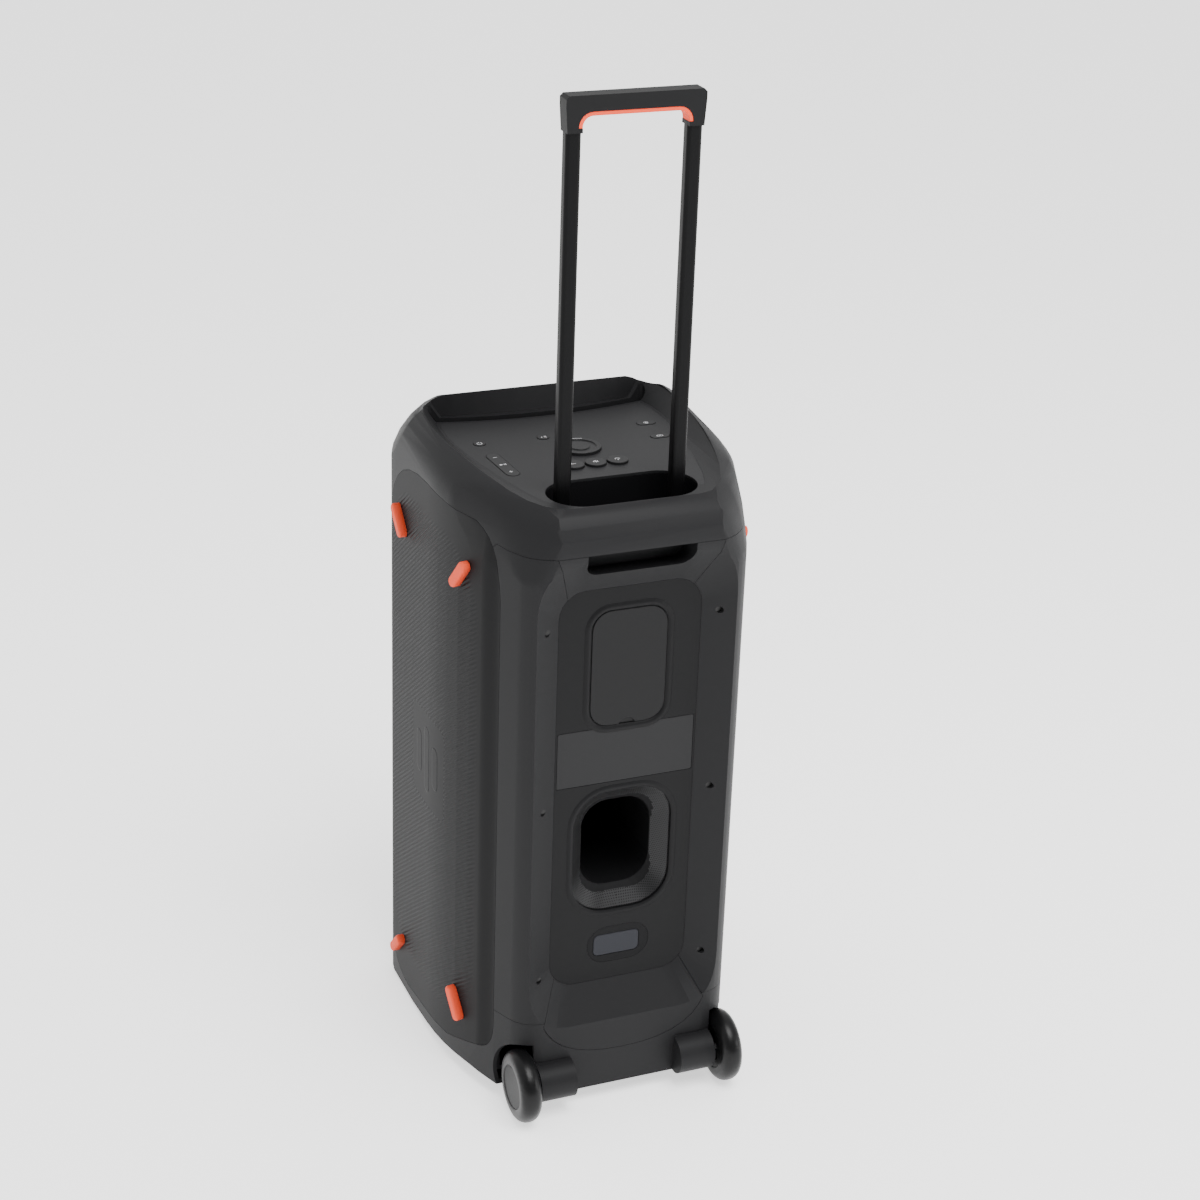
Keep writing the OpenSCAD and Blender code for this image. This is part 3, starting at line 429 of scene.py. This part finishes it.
# Rear panel: a flat ABS moulding screwed in at the bottom of the recess, with the same grain as the case.
# A blank rating film in smooth polycarbonate is stuck across it.
rear_plastic = moulding("rear_plastic", (0.0055, 0.0055, 0.006), 0.5)
softened("rear_panel", rear_plastic, 0.0006)
film = moulding("label_film", (0.016, 0.016, 0.0168), 0.4, relief=0.08)
softened("rating_label", film, 0.0001)


# Socket cover: a soft rubber door on a hinge, moulded with a finger notch at its lower edge.
# A raised rim runs round its opening in the panel, and a smaller grey door covers the mains inlet.
# The plastic pieces behind the doors and in the ports share one dull black.
black_rubber = rubber("black_rubber", (0.006, 0.006, 0.0065), 0.55)
softened("port_cover", black_rubber, 0.0016, steps=4, smooth=50)
grey_rubber = rubber("grey_rubber", (0.018, 0.019, 0.024), 0.55)
softened("inlet_cover", grey_rubber, 0.0009, steps=3, smooth=50)
inner_plastic = moulding("inner_plastic", (0.005, 0.005, 0.0055), 0.6)
for name in ("cabinet_shell", "baffle", "jack_plate", "bass_port", "pole_sleeve_left", "pole_sleeve_right",
             "inlet_socket"):
    paint(name, inner_plastic)


def rim(name, middle_x, middle_z, half_w, half_h, round_r, tube, rise):
    """A raised rounded ridge round an opening in the rear panel."""
    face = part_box("rear_panel")[1].y
    outline = []
    for sx, sz, start in ((1, 1, 0), (-1, 1, 90), (-1, -1, 180), (1, -1, 270)):
        for i in range(9):
            a = math.radians(start + 90 * i / 8)
            outline.append((middle_x + sx * (half_w - round_r) + round_r * math.cos(a),
                            middle_z + sz * (half_h - round_r) + round_r * math.sin(a),
                            math.cos(a), math.sin(a)))
    section = [(-tube, 0), (-tube * 0.6, rise * 0.75), (-tube * 0.15, rise), (tube * 0.3, rise * 0.85),
               (tube, 0)]
    points, faces = [], []
    for x, z, nx, nz in outline:
        points += [(x + nx * s, face + h, z + nz * s) for s, h in section]
    n, k = len(outline), len(section)
    for i in range(n):
        here, there = i * k, (i + 1) % n * k
        faces += [(here + j, here + j + 1, there + j + 1, there + j) for j in range(k - 1)]
    piece = joined_faces(name, points, faces, outward=(0, 1, 0))
    for polygon in piece.data.polygons:
        polygon.use_smooth = True
    piece.data.materials.append(rear_plastic)
    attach(piece, "cabinet")


door_low, door_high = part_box("port_cover")
rim_gap = 0.0045
rim("cover_rim", (door_low.x + door_high.x) / 2, (door_low.z + door_high.z) / 2,
    (door_high.x - door_low.x) / 2 + rim_gap, (door_high.z - door_low.z) / 2 + rim_gap,
    0.0245, 0.0036, 0.0016)


# Bass port: a flared duct moulded in ABS, with a raised rim where it meets the rear panel.
# Its throat is lined with punched steel sheet that has staggered round holes.
def perforated(name, colour, pitch, hole, metal, along):
    """Sheet with staggered round holes, seen along one axis; the holes are see-through."""
    m = bpy.data.materials.new(name)
    m.use_nodes = True
    tree, shader = m.node_tree, m.node_tree.nodes["Principled BSDF"]
    shader.inputs["Base Color"].default_value = (*colour, 1)
    shader.inputs["Metallic"].default_value = metal
    shader.inputs["Roughness"].default_value = 0.42

    def calc(kind, a, b=None):
        n = tree.nodes.new("ShaderNodeMath")
        n.operation = kind
        for i, v in enumerate((a, b)):
            if v is None:
                continue
            if isinstance(v, (int, float)):
                n.inputs[i].default_value = v
            else:
                tree.links.new(v, n.inputs[i])
        return n.outputs[0]

    place = tree.nodes.new("ShaderNodeTexCoord")
    split = tree.nodes.new("ShaderNodeSeparateXYZ")
    tree.links.new(place.outputs["Object"], split.inputs[0])
    u, v = split.outputs[along[0]], split.outputs[along[1]]
    if len(along) == 3:
        u = calc("ADD", calc("ABSOLUTE", u), split.outputs[along[2]])
    row = pitch * math.sqrt(3) / 2

    def to_centre(shift_u, shift_v):
        a = calc("SUBTRACT", calc("FLOORED_MODULO", calc("ADD", u, shift_u), pitch), pitch / 2)
        b = calc("SUBTRACT", calc("FLOORED_MODULO", calc("ADD", v, shift_v), 2 * row), row)
        return calc("SQRT", calc("ADD", calc("MULTIPLY", a, a), calc("MULTIPLY", b, b)))

    near = calc("MINIMUM", to_centre(0, 0), to_centre(pitch / 2, row))
    solid = calc("GREATER_THAN", near, hole / 2)
    tree.links.new(solid, shader.inputs["Alpha"])
    return m


port_lining = perforated("port_lining", (0.018, 0.018, 0.019), 0.0026, 0.0013, 0.5, ("X", "Z", "Y"))
softened("port_mesh", port_lining, 0)
port_low, port_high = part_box("bass_port")
mouth_half_w, mouth_half_h, mouth_gap = 0.0535, 0.0695, 0.003
rim("port_rim", 0, (port_low.z + port_high.z) / 2, mouth_half_w + mouth_gap, mouth_half_h + mouth_gap,
    0.041, 0.0034, 0.0012)


# Handle: two black anodised tubes pressed into a grained grip moulding, sliding in sleeves in the case.
# A coral rubber lining is glued into the arch of the grip.
pole_finish = moulding("pole_finish", (0.004, 0.004, 0.0043), 0.42, relief=0.05)
pole_finish.node_tree.nodes["Principled BSDF"].inputs["Metallic"].default_value = 0.3
softened("handle_poles", pole_finish, 0.0003)
grip_plastic = moulding("grip_plastic", (0.008, 0.008, 0.0085), 0.5)
softened("handle_grip", grip_plastic, 0.0024, steps=4)
softened("grip_liner", coral_rubber, 0.0006)


# Wheels: a solid rubber tyre with a smooth round tread, pressed on a moulded hub.
# Each turns on a plain steel stub axle in the pod at the foot of the case.
tyre = rubber("tyre", (0.004, 0.004, 0.0043), 0.33, relief=0.1)
tyre.node_tree.nodes["Principled BSDF"].inputs["Specular IOR Level"].default_value = 0.2
hub = moulding("hub", (0.0035, 0.0035, 0.0038), 0.42, relief=0.06)
for side in ("left", "right"):
    softened("wheel_tyre_" + side, tyre, 0.0004, smooth=50)
    softened("wheel_hub_" + side, hub, 0.0008, smooth=50)


# Small metal: zinc-plated steel stub axles with washers, black case screws and nickel-plated jack sleeves.
# The two front feet are rubber, pushed into the base.
def metal(name, colour, rough):
    m = bpy.data.materials.new(name)
    m.use_nodes = True
    shader = m.node_tree.nodes["Principled BSDF"]
    shader.inputs["Base Color"].default_value = (*colour, 1)
    shader.inputs["Metallic"].default_value = 1
    shader.inputs["Roughness"].default_value = rough
    return m


paint("wheel_axles", metal("zinc_steel", (0.55, 0.55, 0.56), 0.35))
paint("case_screws", metal("black_screws", (0.03, 0.03, 0.03), 0.4))
paint("jack_sockets", metal("jack_metal", (0.6, 0.6, 0.62), 0.3))
paint("front_feet", black_rubber)


# Front: a punched steel grille pressed into the front frame.
# Behind it two woofers with paper cones sit in milky light rings, with two tweeters above them.
grille = perforated("front_mesh", (0.02, 0.02, 0.021), 0.0045, 0.0031, 0.6, ("X", "Z"))
paint("front_grille", grille)
basket = metal("basket_steel", (0.03, 0.03, 0.03), 0.5)
cone = moulding("cone_paper", (0.02, 0.02, 0.021), 0.7, relief=0.4, size=500)
ring = moulding("light_diffuser", (0.75, 0.75, 0.78), 0.3, relief=0.02)
for name in ("upper", "lower"):
    paint("woofer_basket_" + name, basket)
    paint("woofer_cone_" + name, cone)
    paint("woofer_magnet_" + name, metal("ferrite_" + name, (0.08, 0.08, 0.08), 0.7))
    paint("light_ring_" + name, ring)
for name in ("tweeter_left", "tweeter_right"):
    paint(name, hub)


# Inside: circuit boards with green solder mask and a battery in a shrink sleeve.
# They are screwed to the shell and hidden once the case is closed.
board = moulding("solder_mask", (0.02, 0.12, 0.05), 0.3, relief=0.02)
for name in ("control_board", "amplifier_board", "power_supply"):
    paint(name, board)
paint("battery_pack", moulding("battery_sleeve", (0.05, 0.08, 0.16), 0.35, relief=0.02))
